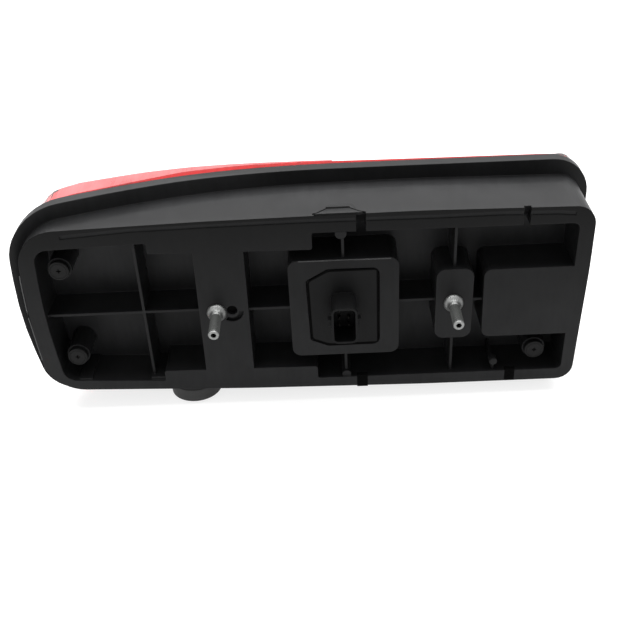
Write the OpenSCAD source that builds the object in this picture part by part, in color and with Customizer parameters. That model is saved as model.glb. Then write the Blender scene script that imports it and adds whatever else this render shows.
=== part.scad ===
// Tail light cluster, seen from its mounting side.
// Origin: midway between the two studs, on the plane of their collars' seats.
// +X right as seen from behind, +Y towards the lens, +Z up. Millimetres.

/* [Mounting] */
// Distance between the two mounting studs
stud_spacing = 152; // [100:1:200]
// Stud thread diameter
stud_d = 8; // [6:1:10]
// How far a stud stands out of the rear plane
stud_reach = 26; // [15:1:40]
// Collar diameter at the stud's foot
collar_d = 12.8; // [10:0.2:18]
// Collar height
collar_h = 3; // [1:0.2:5]

/* [Housing] */
// Left edge of the rear rim, measured from the stud centre
rim_left = 196.8; // [180:0.2:220]
// Right edge of the rear rim
rim_right = 160.4; // [140:0.2:180]
// Rim top edge above the studs
rim_top = 67.2; // [60:0.2:80]
// Rim bottom edge below the studs
rim_bottom = 64.4; // [55:0.2:80]
// Depth of the walls from the rear plane to the flange
wall_depth = 45; // [30:1:60]
// Radius by which the flange sweeps back to the left end
sweep_r = 516; // [300:1:900]
// Thickness of the flange that carries the lens
flange_t = 8; // [5:0.5:12]
// How far the flange stands out of the walls
flange_out = 10; // [6:0.5:14]
// Distance from the floor of the open recess to the back of the flange
floor_inset = 15; // [10:1:25]
// Thickness of the recess floor
floor_t = 2.5; // [1.5:0.1:4]
// Thickness of the free walls in front of the floor
wall_t = 3; // [2:0.1:4]
// Depth of the rib edges behind the rim plane
rib_sink = 5; // [2:0.5:8]
// Rib thickness
rib_t = 1.8; // [1:0.1:3]

/* [Connector] */
// Width of the connector shroud
shroud_w = 16.4; // [12:0.1:24]
// Height of the connector shroud
shroud_h = 26.2; // [18:0.1:34]
// How far the shroud stands out of the rear plane
shroud_reach = 19; // [10:0.5:26]
// Wall of the shroud
shroud_t = 1.4; // [1:0.1:2.5]
// Clearance around the connector plate
plate_gap = 0.7; // [0.3:0.1:1.2]
// Thickness of the connector plate
plate_t = 2.7; // [2:0.1:4]
// Number of contact pins in each column
pins_high = 4; // [2:1:6]

/* [Lens] */
// Depth of the lens, measured from the back of the flange
lens_depth = 21; // [16:1:32]
// Lens wall thickness
lens_t = 2.5; // [2:0.1:4]
// Radius that bows the lens front back to the left
lens_sweep_r = 800; // [600:10:2000]
// Radius along the upper and lower front edges of the lens
lens_edge_r = 10; // [5:0.5:16]
// Gap between loose pieces
gap = 0.3; // [0.1:0.05:0.5]

/* [Buzzer] */
// Diameter of the buzzer
buzzer_d = 34.6; // [28:0.2:44]
// Height of the buzzer below its seal
buzzer_h = 9; // [6:0.5:24]
// Position of the buzzer to the left of the stud centre
buzzer_x = 98.3; // [80:0.5:130]
// Clearance between the buzzer and the flange
buzzer_gap = 0.2; // [0.1:0.1:2]

/* [Hidden] */

eps = 0.01;
far = 400;
half_span = stud_spacing / 2;
root_r = stud_d / 2 - 0.4;
recess_depth = wall_depth - floor_inset;
floor_y = recess_depth + floor_t;
bow = 2.2;
lens_front = wall_depth + lens_depth;
lens_right = rim_right + 3.8;
end_r = 26.4;
end_left = -rim_left + 3.4;
end_x = end_left + end_r;
end_turn = asin(-end_x / (lens_sweep_r - end_r));
end_y = lens_front - lens_sweep_r + (lens_sweep_r - end_r) * cos(end_turn);
nose_r = 12;
pad_core = 5.5;
// the buzzer touches neither the flange's curve nor the rim
buzzer_y = wall_depth - sweep_r + sqrt(pow(sweep_r - buzzer_d / 2 - buzzer_gap, 2) - pow(buzzer_x, 2));
buzzer_seat = -rim_bottom + 1.4;
buzzer_low = buzzer_seat - buzzer_h;
// spans of the windows along the lens, and their half height
indicator_at = [-0.869, -0.6] * rim_left;
reverse_at = [0.0873, 0.4364] * rim_right;
reflex_at = [0.4988, 0.8728] * rim_right;
window_h = 0.744 * rim_top;

// outline tools: a corner is [x, z, radius]
function unit(v) = v / norm(v);
function left_of(v) = [-v[1], v[0]];
function steps(r) = r > 100 ? 3 : r > 12 ? 10 : r > 5 ? 6 : 4;
function corner(a, b, c) =
    let (r = b[2], p = [b[0], b[1]], u = unit([a[0], a[1]] - p), v = unit([c[0], c[1]] - p),
         h = acos(u * v) / 2, m = p + unit(u + v) * r / sin(h), s = p + u * r / tan(h) - m,
         turn = (180 - 2 * h) * sign(u[0] * v[1] - u[1] * v[0]) * -1, n = steps(r))
    r <= 0 ? [p] : [for (i = [0:n]) let (t = turn * i / n)
        m + [s[0] * cos(t) - s[1] * sin(t), s[0] * sin(t) + s[1] * cos(t)]];
function rounded(c) = [for (i = [0:len(c) - 1])
    each corner(c[(i + len(c) - 1) % len(c)], c[i], c[(i + 1) % len(c)])];
// the same corners moved inwards by d, for corners listed anticlockwise
function inset(c, d) = [for (i = [0:len(c) - 1])
    let (a = c[(i + len(c) - 1) % len(c)], b = c[i], e = c[(i + 1) % len(c)],
         n1 = left_of(unit([b[0] - a[0], b[1] - a[1]])),
         n2 = left_of(unit([e[0] - b[0], e[1] - b[1]])),
         q = [b[0], b[1]] + (n1 + n2) * d / (1 + n1 * n2))
    [q[0], q[1], max(b[2] - d, 0.4)]];

// rear rim, anticlockwise from the lower left
rim = [
    [-rim_left + 2.6, -rim_bottom + 7.4, 26],
    [-60, -rim_bottom + bow, 1500],
    [60, -rim_bottom, 1500],
    [rim_right - 2.6, -rim_bottom, 11],
    [rim_right + 0.2, 22, 600],
    [rim_right + 0.2, rim_top - 1.8, 13],
    [50, rim_top, 1500],
    [-80, rim_top - 1.3, 1500],
    [-rim_left + 2.4, rim_top - 4.3, 26],
    [-rim_left, 0, 600]
];
// flange that carries the lens
flange_edge = [
    [-rim_left + 2.3, -rim_bottom - 3, 31],
    [-80, -rim_bottom - flange_out + 2.2, 1500],
    [60, -rim_bottom - flange_out, 1500],
    [rim_right + 5.2, -rim_bottom - flange_out, 22],
    [rim_right + 6, rim_top + flange_out - 0.9, 24],
    [40, rim_top + flange_out - 0.7, 1500],
    [-90, rim_top + flange_out - 1, 1500],
    [-rim_left - 3, rim_top + 5.6, 34],
    [-rim_left - 6.8, 0, 300]
];
// foot of the lens, drawn in at the swept end
lens_edge = [
    [end_left + 1, -rim_bottom - 2, 28],
    [-80, -rim_bottom - flange_out + 4, 1500],
    [60, -rim_bottom - flange_out + 1.8, 1500],
    [rim_right + 3.4, -rim_bottom - flange_out + 1.8, 20],
    [rim_right + 4.2, rim_top + flange_out - 2.6, 22],
    [-90, rim_top + flange_out - 2.6, 1500],
    [end_left + 0.4, rim_top + 4.2, 30],
    [end_left, 2, 600]
];
// open recess at the back
recess = [
    [-182.6, -49.9, 9],
    [-115.5, -53.2, 1.5],
    [-115.5, -45, 1.5],
    [-13, -46.3, 1.5],
    [-13, -56, 1.5],
    [150.2, -56, 4],
    [151, 54.2, 4],
    [-12.6, 54.9, 1.5],
    [-12.6, 43.3, 1.5],
    [-114.5, 45, 1.5],
    [-114.5, 52.4, 1.5],
    [-184.4, 50.2, 9],
    [-187, 0, 400]
];
strap = [
    [-half_span - 11.6, -48, 0], [-half_span + 20.4, -48, 0],
    [-half_span + 20.8, 46, 0], [-half_span - 10.8, 46, 0]
];
connector_pad = [[-28.8, -36.7, 6], [41.1, -36.7, 6], [41.1, 35.6, 6], [-28.8, 35.6, 6]];
stud_pad = [
    [half_span - 11.6, -27, 6], [half_span + 12, -27, 6],
    [half_span + 12.4, 25, 6], [half_span - 11.3, 25, 6]
];
big_pad = [[95.2, -27.2, 5], [154, -27.2, 0], [154, 23.8, 0], [94.6, 23.8, 5]];
plate = [
    [-5, -28.9, 2], [28, -28.7, 4], [28, 28.2, 4],
    [-4, 28, 3], [-17, 20.5, 2], [-16, -24, 2]
];
screw_at = [[-172.5, 33.1], [-172.6, -33.5], [132.1, -42.7]];
screw_head_r = 6.6;
screw_head_t = 2.6;
screw_y = 5;
vent_at = [-half_span + 10, 1.4];
vent_r = 3.1;
bulb_x = [-0.742 * rim_left, -0.437 * rim_left, -0.132 * rim_left, 0.262 * rim_right];

// pieces are drawn from the rim plane and set back to the plane of the collars' seats
module set_back() {
    translate([0, collar_h, 0])
        children();
}
// draw an XZ outline and push it from y0 to y1
module slab(c, y0, y1) {
    translate([0, y1, 0])
        rotate([90, 0, 0])
            linear_extrude(y1 - y0)
                polygon(rounded(c));
}
module bar(x0, x1, y0, y1, z0, z1) {
    translate([x0, y0, z0])
        cube([x1 - x0, y1 - y0, z1 - z0]);
}
// cylinder along Y
module round_y(x, z, r, y0, y1, n = 48) {
    translate([x, y1, z])
        rotate([90, 0, 0])
            cylinder(r = r, h = y1 - y0, $fn = n);
}
// everything behind the swept flange face, moved forwards by d
module behind_sweep(d) {
    translate([0, 0, -far / 2])
        linear_extrude(far)
            union() {
                intersection() {
                    translate([0, wall_depth - sweep_r])
                        circle(r = sweep_r + d, $fn = 360);
                    translate([-far, -far])
                        square([far, 2 * far]);
                }
                translate([-eps, -far])
                    square([far, far + wall_depth + d]);
            }
}
// upper and lower edges of the lens, front at x = 0, drawn t thinner
module lens_profile(t) {
    r = max(lens_edge_r - t, 1);
    low = -rim_bottom - flange_out + 2.2 + t;
    high = rim_top + flange_out - 2.9 - t;
    translate([-80, low + r])
        square([80 - t, high - low - 2 * r]);
    translate([-80, low])
        square([80 - t - r, high - low]);
    for (z = [low + r, high - r])
        translate([-t - r, z])
            circle(r = r, $fn = 48);
}
// plan of the two ends of the lens
module lens_ends(t) {
    translate([end_x, end_y])
        circle(r = end_r - t, $fn = 96);
    translate([-far, -far])
        square([2 * far, far + end_y]);
    translate([-(lens_sweep_r - t) * sin(end_turn), -far])
        square([lens_right - nose_r + (lens_sweep_r - t) * sin(end_turn), 2 * far]);
    translate([lens_right - nose_r, lens_front - nose_r])
        circle(r = nose_r - t, $fn = 64);
    translate([0, -far])
        square([far, far + lens_front - nose_r]);
}
// keeps the pocket and the panel clear of the swept end of the lens
module end_room(t) {
    translate([0, 0, -far / 2])
        linear_extrude(far) {
            translate([end_x, end_y])
                circle(r = end_r - t, $fn = 96);
            translate([end_x - end_r + t, -far])
                square([far, far + end_y]);
            translate([end_x, -far])
                square([far, 2 * far]);
        }
}
// the space that the lens fills when it is drawn t thinner all round
module lens_space(t) {
    intersection() {
        slab(inset(lens_edge, t + 0.01), 0, far / 4);
        translate([0, 0, -far / 2])
            linear_extrude(far)
                lens_ends(t);
        union() {
            translate([0, lens_front, 0])
                rotate([90, 0, 90])
                    linear_extrude(far)
                        lens_profile(t);
            translate([0, lens_front - lens_sweep_r, 0])
                rotate([0, 0, 90])
                    rotate_extrude(angle = 17, $fn = 720)
                        translate([lens_sweep_r, 0])
                            lens_profile(t);
        }
    }
}
module window(at, grow) {
    h = window_h + grow;
    slab([
        [at[0] - grow, -h, 7], [at[1] + grow, -h, 7],
        [at[1] + grow, h, 7], [at[0] - grow, h, 7]
    ], 0, far / 2);
}
// the skin of the lens within one window
module pane(at) {
    intersection() {
        difference() {
            lens_space(0);
            lens_space(lens_t);
        }
        window(at, 0);
    }
}

module rim_details() {
    // soft groove below the top edge of the rim
    slab([
        [-166, rim_top - 9.6, 0], [-125, rim_top - 6.7, 0], [-80, rim_top - 5.8, 0],
        [-19, rim_top - 5.2, 0], [65, rim_top - 5.8, 0], [102, rim_top - 5.6, 0],
        [138, rim_top - 6.6, 0], [148, rim_top - 7.6, 0], [148, rim_top - 5.2, 0],
        [138, rim_top - 4, 0], [102, rim_top - 3.1, 0], [65, rim_top - 3.3, 0],
        [-19, rim_top - 2.7, 0], [-80, rim_top - 3.3, 0], [-125, rim_top - 4.2, 0],
        [-166, rim_top - 7.1, 0]
    ], -1, 0.7);
    // drain notches, deeper towards the recess
    for (n = [[14.7, 20.7], [116.3, 120.5]])
        translate([n[0], 0, 0])
            rotate([90, 0, 90])
                linear_extrude(n[1] - n[0])
                    polygon([[-1, 50], [16, 50], [2.6, rim_top - 1.4], [2.6, far / 4], [-1, far / 4]]);
    bar(13.8, 19.9, -1, 3, -far / 4, -52);
    bar(113, 118.6, -1, 3, -far / 4, -52);
    // slot of the clip in the top wall
    bar(-1, 12.4, 11.4, 12.3, rim_top - 1.6, far / 4);
}
module ribs() {
    z = -0.6;
    h = rib_t / 2;
    bar(-190, -half_span - 11, rib_sink, floor_y, z - h, z + h);
    bar(-half_span + 20, -28, rib_sink - 1.4, floor_y, z - h, z + h);
    bar(41, half_span - 11, rib_sink + 1.4, floor_y, z - h, z + h);
    bar(half_span + 12, 95, rib_sink - 0.5, floor_y, z - h, z + h);
    bar(-123.6 - h, -123.6 + h, rib_sink, floor_y, -56, 55);
    bar(6.2 - h, 6.2 + h, rib_sink - 2, floor_y, 35, 56);
    bar(6.2 - h, 6.2 + h, rib_sink - 2, floor_y, -57, -36);
    x = half_span + 0.4;
    bar(x - h, x + h, rib_sink - 1, floor_y, 24, 56);
    bar(x - h, x + h, rib_sink - 1, floor_y, -57, -26);
    // round bosses on the ribs next to the rim
    round_y(5.2, 53, 3.6, 1, floor_y);
    round_y(6.4, -54.5, 3, 1, floor_y);
    // stiffening blocks at the lower left
    bar(-174, -165, 1.5, floor_y, -57, -49.6);
    bar(-125.5, -115, 1.5, floor_y, -58, -50.6);
}
module rear_housing() {
    color("dimgray") set_back()
    difference() {
        union() {
            difference() {
                union() {
                    // walls behind the flange
                    intersection() {
                        slab(rim, 0, far / 2);
                        behind_sweep(flange_t / 2);
                    }
                    // flange
                    difference() {
                        intersection() {
                            slab(flange_edge, -1, far / 2);
                            behind_sweep(flange_t);
                        }
                        behind_sweep(0);
                    }
                    // pocket that reaches into the lens at the swept end
                    intersection() {
                        slab(inset(rim, 5), 0, floor_y);
                        end_room(4.5);
                    }
                }
                // recess at the back
                intersection() {
                    slab(recess, -1, recess_depth);
                    end_room(6.4);
                }
                // lamp chamber in front of the floor
                slab(inset(rim, wall_t), floor_y, far / 2);
                rim_details();
            }
            intersection() {
                union() {
                    slab(strap, 0, floor_y);
                    slab(connector_pad, 0, floor_y);
                    slab(stud_pad, 0, floor_y);
                    slab(big_pad, 0, floor_y);
                    ribs();
                    for (s = screw_at)
                        round_y(s[0], s[1], screw_head_r + 1, screw_y + screw_head_t, floor_y);
                }
                slab(inset(rim, 5.4), 0, floor_y);
                end_room(4.6);
            }
            // flat seat for the buzzer
            translate([-buzzer_x, buzzer_y, buzzer_seat + 1])
                cylinder(d = buzzer_d, h = 6, $fn = 96);
        }
        // the pads and the strap are cored out from the front
        slab(inset(connector_pad, floor_t), pad_core, far / 4);
        slab([[97.2, -24.7, 3], [148.5, -24.7, 3], [148.5, 21.3, 3], [97.2, 21.3, 3]], floor_t, far / 4);
        for (z = [[-42, -8], [8, 41]])
            slab([
                [-half_span - 8, z[0], 3], [-half_span + 17.4, z[0], 3],
                [-half_span + 17.4, z[1], 3], [-half_span - 8, z[1], 3]
            ], floor_t, far / 4);
        // seat of the connector plate and the passage behind it
        slab(inset(plate, -plate_gap), -1, plate_t + gap);
        slab([[-1.6, -14, 2], [12.8, -14, 2], [12.8, 10, 2], [-1.6, 10, 2]], 0, far / 4);
        // stud bores
        for (x = [-half_span, half_span])
            round_y(x, 0, root_r + gap, -1, 14);
        // breather hole with its drip groove
        round_y(vent_at[0], vent_at[1], vent_r + gap, -1, 8);
        translate([vent_at[0] - 0.3, 3, vent_at[1] - 1])
            rotate([90, 0, 0])
                rotate([0, 0, -125])
                    rotate_extrude(angle = 125, $fn = 64)
                        translate([4.6, 0])
                            square([3, 4]);
        // holes for the lens screws
        for (s = screw_at)
            round_y(s[0], s[1], 2.7, 0, far / 4, 32);
        // bore of the buzzer
        translate([-buzzer_x, buzzer_y, buzzer_seat - 7])
            cylinder(r = 14.3, h = 20, $fn = 96);
    }
    // thin clip plate on the top wall
    color("dimgray") set_back()
    translate([0, 0, rim_top - 1])
        linear_extrude(1.3)
            polygon([[-10, 1.2], [-1, 11.4], [12.4, 11.4], [14.4, 7.5], [14.4, 1.2]]);
}

module lug(side) {
    translate([side > 0 ? 0 : -2.4, -14.5, -2.6])
        cube([2.4, 4.5, 5]);
}
module connector_plate() {
    cx = 5.6;
    cz = -1.9;
    w = shroud_w / 2;
    h = shroud_h / 2;
    color("dimgray") set_back()
    difference() {
        union() {
            slab(plate, 0, plate_t);
            slab([[cx - w, cz - h, 4], [cx + w, cz - h, 4], [cx + w, cz + h, 4], [cx - w, cz + h, 4]],
                -shroud_reach, 1);
            translate([cx + w - 0.2, 0, cz])
                lug(1);
            translate([cx - w + 0.2, 0, cz])
                lug(-1);
        }
        slab([[cx - w + shroud_t, cz - h + shroud_t, 2.6], [cx + w - shroud_t, cz - h + shroud_t, 2.6],
            [cx + w - shroud_t, cz + h - shroud_t, 2.6], [cx - w + shroud_t, cz + h - shroud_t, 2.6]],
            -shroud_reach - 1, -1);
        // keying slot in the floor of the shroud
        bar(cx - 1, cx + 1, -1.6, 0, cz + 7.4, cz + 9.4);
        for (p = pin_spots)
            bar(p[0] - 0.8, p[0] + 0.8, -2, plate_t + 1, p[1] - 1.3, p[1] + 1.3);
    }
}
pin_spots = [for (i = [0:pins_high - 1]) for (s = [-1, 1]) [5.6 + s * 3, -11.2 + i * 5.4]];
module contact_pins() {
    color("tan") set_back()
    for (p = pin_spots)
        bar(p[0] - 0.4, p[0] + 0.4, -14, plate_t + 4, p[1] - 1, p[1] + 1);
}
module plate_seal() {
    // ring behind the connector plate, around the passage
    color("black") set_back()
    difference() {
        slab([[-4.6, -17, 3], [15.8, -17, 3], [15.8, 13, 3], [-4.6, 13, 3]],
            plate_t, plate_t + gap);
        slab([[-2.2, -14.6, 2], [13.4, -14.6, 2], [13.4, 10.6, 2], [-2.2, 10.6, 2]],
            plate_t - 1, plate_t + 1);
    }
}
module stud(x) {
    color("silver") set_back()
    translate([x, 0, 0])
        rotate([90, 0, 0])
            rotate_extrude($fn = 64)
                polygon([
                    [0, -12], [root_r, -12], [root_r, 0], [collar_d / 2, 0],
                    [collar_d / 2, 0.8], [collar_d / 2 - 0.6, 1.8],
                    [collar_d / 2 - 1.4, collar_h - 0.4], [stud_d / 2, collar_h],
                    [stud_d / 2, stud_reach - 0.8], [stud_d / 2 - 0.8, stud_reach],
                    [1.7, stud_reach], [1.7, stud_reach - 5], [0, stud_reach - 5]
                ]);
}
module stud_left() {
    stud(-half_span);
}
module stud_right() {
    stud(half_span);
}
module lens_screws() {
    color("dimgray") set_back()
    for (s = screw_at)
        difference() {
            union() {
                round_y(s[0], s[1], screw_head_r, screw_y, screw_y + screw_head_t);
                round_y(s[0], s[1], 4.2, screw_y - 1.6, screw_y + 1, 32);
                round_y(s[0], s[1], 2.4, screw_y + 1, floor_y + 4, 32);
            }
            bar(s[0] - 2.6, s[0] + 2.6, 0, screw_y + 1, s[1] - 0.6, s[1] + 0.6);
            bar(s[0] - 0.6, s[0] + 0.6, 0, screw_y + 1, s[1] - 2.6, s[1] + 2.6);
        }
}

module lens() {
    color("red") set_back()
    difference() {
        lens_space(0);
        lens_space(lens_t);
        behind_sweep(flange_t + gap);
        for (at = [indicator_at, reverse_at, reflex_at])
            window(at, gap);
    }
}
module lens_seal() {
    color("black") set_back()
    difference() {
        intersection() {
            slab(inset(lens_edge, lens_t + gap), 0, far / 4);
            behind_sweep(flange_t + gap + 2);
        }
        slab(inset(lens_edge, lens_t + gap + 1.1), -1, far / 2);
        behind_sweep(flange_t + gap);
    }
}
module indicator_window() {
    color("orange") set_back()
        pane(indicator_at);
}
module reverse_window() {
    color("white") set_back()
        pane(reverse_at);
}
module reflex_reflector() {
    color("darkred") set_back()
        pane(reflex_at);
}
module bowl(x) {
    // thin dish open towards the lens
    translate([x, floor_y + gap, 0])
        rotate([-90, 0, 0])
            rotate_extrude($fn = 96)
                polygon([
                    [9.9, 0], [25, 0], [25, 1.4], [28, 8], [26.8, 8], [24, 2.4],
                    [18, 1.6], [9.9, 1.4]
                ]);
}
module reflector_panel() {
    color("silver") set_back()
    intersection() {
        end_room(5.5);
        union() {
            difference() {
                slab(inset(rim, 6), floor_y + gap, floor_y + gap + 1.4);
                for (x = bulb_x)
                    round_y(x, 0, 20, 0, far / 4);
                for (s = screw_at)
                    round_y(s[0], s[1], 4, 0, far / 4, 32);
            }
            for (x = bulb_x)
                bowl(x);
        }
    }
}
module bulb(x) {
    translate([x, floor_y + gap + 4.4, 0])
        rotate([-90, 0, 0])
            rotate_extrude($fn = 64)
                polygon([
                    [0, 0], [5, 0], [5, 0.8], [6.6, 2.4], [7.4, 4.6], [6.8, 7],
                    [5, 9], [2.6, 10], [0, 10.2]
                ]);
}
module socket(x) {
    translate([x, floor_y + gap, 0])
        rotate([-90, 0, 0])
            rotate_extrude($fn = 64)
                polygon([[0, 0], [9.6, 0], [9.6, 1.8], [7.2, 2.6], [7.2, 4.4], [0, 4.4]]);
}
module indicator_bulb() {
    color("orange") set_back()
        bulb(bulb_x[0]);
}
module stop_bulb() {
    color("white") set_back()
        bulb(bulb_x[1]);
}
module tail_bulb() {
    color("white") set_back()
        bulb(bulb_x[2]);
}
module reverse_bulb() {
    color("white") set_back()
        bulb(bulb_x[3]);
}
module indicator_socket() {
    color("dimgray") set_back()
        socket(bulb_x[0]);
}
module stop_socket() {
    color("dimgray") set_back()
        socket(bulb_x[1]);
}
module tail_socket() {
    color("dimgray") set_back()
        socket(bulb_x[2]);
}
module reverse_socket() {
    color("dimgray") set_back()
        socket(bulb_x[3]);
}
module contact_strip() {
    // brass strip from the pins' side to the sockets, laid on the panel
    color("gold") set_back()
        bar(bulb_x[0] - 4, bulb_x[3] + 18, floor_y + gap + 1.4, floor_y + gap + 2, -34, -31);
}

module buzzer_body() {
    color("dimgray") set_back()
    translate([-buzzer_x, buzzer_y, 0])
    difference() {
        union() {
            translate([0, 0, buzzer_low + 1.5])
                cylinder(d = buzzer_d, h = buzzer_h - 1.5, $fn = 96);
            translate([0, 0, buzzer_seat - 1])
                cylinder(r = 14, h = 13, $fn = 96);
        }
        translate([0, 0, buzzer_low + 1])
            cylinder(r = 12, h = buzzer_h + 3, $fn = 96);
    }
}
module buzzer_grille() {
    color("dimgray") set_back()
    translate([-buzzer_x, buzzer_y, 0])
    difference() {
        translate([0, 0, buzzer_low])
            cylinder(d = buzzer_d, h = 1.5, $fn = 96);
        for (a = [0:45:315])
            rotate([0, 0, a])
                translate([4, -0.9, buzzer_low - 1])
                    cube([7, 1.8, 4]);
    }
}
module buzzer_seal() {
    color("black") set_back()
    translate([-buzzer_x, buzzer_y, buzzer_seat])
    difference() {
        cylinder(d = buzzer_d, h = 1, $fn = 96);
        translate([0, 0, -1])
            cylinder(r = 14.3, h = 3, $fn = 96);
    }
}
module breather_plug() {
    color("black") set_back()
        round_y(vent_at[0], vent_at[1], vent_r, 3, 8, 32);
}

rear_housing();
connector_plate();
contact_pins();
plate_seal();
stud_left();
stud_right();
lens_screws();
lens();
lens_seal();
indicator_window();
reverse_window();
reflex_reflector();
reflector_panel();
indicator_bulb();
stop_bulb();
tail_bulb();
reverse_bulb();
indicator_socket();
stop_socket();
tail_socket();
reverse_socket();
contact_strip();
buzzer_body();
buzzer_grille();
buzzer_seal();
breather_plug();
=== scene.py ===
"""Tail light cluster seen from its mounting side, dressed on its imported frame."""
import math

import bmesh
import bpy
from bpy.props import FloatProperty, FloatVectorProperty, PointerProperty
from mathutils import Matrix, Vector


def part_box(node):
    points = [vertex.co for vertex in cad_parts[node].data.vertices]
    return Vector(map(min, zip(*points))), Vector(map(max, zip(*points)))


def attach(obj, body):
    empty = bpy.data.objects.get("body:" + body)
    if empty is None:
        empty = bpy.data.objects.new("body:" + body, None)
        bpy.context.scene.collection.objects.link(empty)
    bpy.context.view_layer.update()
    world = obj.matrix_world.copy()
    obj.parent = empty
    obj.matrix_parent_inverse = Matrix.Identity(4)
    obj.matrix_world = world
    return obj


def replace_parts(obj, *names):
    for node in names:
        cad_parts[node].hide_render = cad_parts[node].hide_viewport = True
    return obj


bl_info = {
    "name": "Tail Light Cluster",
    "version": (1, 0, 0),
    "blender": (4, 5, 0),
    "location": "View3D > Sidebar > Tail Light",
    "description": "Finishes, small pieces and a plain stage for a rear combination lamp",
    "category": "Object",
}

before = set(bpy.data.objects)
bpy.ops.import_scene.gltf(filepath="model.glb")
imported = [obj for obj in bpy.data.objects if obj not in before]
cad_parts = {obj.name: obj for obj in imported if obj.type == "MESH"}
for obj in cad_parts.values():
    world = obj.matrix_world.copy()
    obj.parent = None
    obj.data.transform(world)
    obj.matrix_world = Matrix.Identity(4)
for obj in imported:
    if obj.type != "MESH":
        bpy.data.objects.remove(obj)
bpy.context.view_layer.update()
MM = 0.001
SENSOR_WIDTH = 36.0
FLOOR_SIZE = 6.0
LENS_PLASTIC_IOR = 1.49
# one turn in radians
WAVE_TURN = 6.2832
# dark part of a metal's brushed grain, swing of its roughness and painted shade that darkens the
# connector
BRUSH_SHADE = 0.70
GLOSS_SWING = 0.08
CONNECTOR_PAINTED_SHADE = 0.55

# metres: seen from above, the left part of the flange's front follows this circle
FLANGE_CENTRE = -0.468
FLANGE_RADIUS = 0.524
# metres: what lies nearer the back than this is a face of the rim, the strap or a pad
REAR_FACES = 0.0036
# metres: spans over which the painted light and shade on the housing and the tint of the lens are
# laid out
PAINTED_LIGHT_DEPTH = 0.05
HALF_HEIGHT = 0.07
HALF_LENGTH = 0.20
FOOT_BAND = 0.012
# shares of the foot's band between which its tint fades into the red
FOOT_FADE = (1.05, 1.30)
# metres: start of the socket in a stud's end, its reach and the reach of the painted shadow on its
# floor
SOCKET_START = -0.0176
SOCKET_REACH = 0.0019
SOCKET_SHADOW = 0.0016
# distance of a hexagon's flat from the axis, as a share of the round hole's radius
HEXAGON_FLAT = 0.92

# name, place, aim, size and power of the area lights
LIGHTS = (
    ("back light", (0.0, 0.45, 1.15), (0.0, 0.0, 0.03), (2.2, 1.4), 70.0),
    ("front light", (-1.1, -0.9, 0.85), (-0.05, 0.0, 0.0), (0.9, 0.8), 3.0),
)

# From here on the tables are in mm. Outlines are (across, up), and profiles (radius, depth).
STUD_AXES = {"stud_left": -76.0, "stud_right": 76.0}
STUD_PROFILE = (
    (0, 14.6), (3.5, 14.6), (3.5, 3.0), (6.4, 3.0), (6.4, 2.3), (6.1, 1.5), (5.4, 0.7),
    (4.8, 0.1), (4.2, -0.6), (3.8, -1.5), (3.5, -2.4), (3.12, -3.0), (3.12, -20.6),
    (3.45, -20.9), (3.45, -22.4), (3.0, -23.0), (1.8, -23.0), (1.65, -22.8), (1.6, -18.6),
    (0, -17.9),
)
THREAD_START = -2.3
THREAD_ROOT = 3.05
THREAD_CREST = 3.5
THREAD_PITCH = 1.25
THREAD_TURNS = 14
SCREW_AXES = ((-172.5, 33.1), (-172.6, -33.5), (132.1, -42.7))
SCREW_PROFILE = (
    (0, 8.6), (0.6, 8.4), (1.1, 7.1), (4.9, 7.0), (5.05, 7.2), (5.3, 7.2), (5.45, 7.0),
    (6.1, 7.0), (6.45, 7.2), (6.6, 7.6), (6.6, 9.8), (6.3, 10.6), (2.4, 10.6), (2.4, 36.8),
    (0, 36.8),
)
# size, middle depth, columns, rows, first row and row spacing of the contact blades
BLADE_SIZE = (0.8, 12.0, 2.0)
BLADE_DEPTH = 5.0
BLADE_COLUMNS = (2.6, 8.6)
BLADE_ROWS = 4
BLADE_LOWEST = -11.2
BLADE_SPACING = 5.4

PLATE_OUTLINE = ((-5.0, -28.9), (28.0, -28.7), (28.0, 28.2), (-4.0, 28.0), (-17.0, 20.5),
                 (-16.0, -24.0))
# name, left and right edge of the near-black blocks that paint shadow into the slots in the rim's
# lower edge
DRAIN_SLOT_SHADOWS = (("drain_slot_shadow_middle", 13.2, 20.4), ("drain_slot_shadow_right", 112.6, 119.3))
PEG_AXIS = (104.8, -49.5)
PEG_PROFILE = ((0, 10.0), (2.8, 10.0), (2.8, 5.0), (2.5, 4.4), (1.9, 4.1), (0, 4.0))
RIM_LEFT_EDGE = (
    (-195.7, 33.2), (-196.05, 28.8), (-196.3, 22.0), (-196.5, 15.4), (-196.7, 8.0),
    (-196.8, 1.7), (-196.5, -3.0), (-196.2, -7.7), (-195.96, -12.5), (-195.7, -17.3),
    (-195.4, -22.2), (-195.06, -27.0), (-194.75, -32.0),
)
# the next three are points of (across, depth, up)
PAD_TOP_EDGE = ((-22.0, 3.25, 35.1), (7.0, 3.25, 35.0), (36.0, 3.25, 34.9))
LATCH_SLIT_LEFT = ((-11.5, 3.4, 67.6), (-8.5, 4.6, 67.6), (-3.0, 9.6, 67.6))
LATCH_SLIT_RIGHT = ((11.0, 9.8, 67.6), (16.6, 5.0, 67.6), (20.0, 3.4, 67.6))
# corners of the latch's tongue (across, depth), its underside and its thickness
LATCH_TONGUE = ((-10.9, 3.2), (-2.5, 10.2), (10.7, 10.6), (19.2, 3.2))
LATCH_UNDERSIDE = 66.1
LATCH_THICKNESS = 1.7

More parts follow.
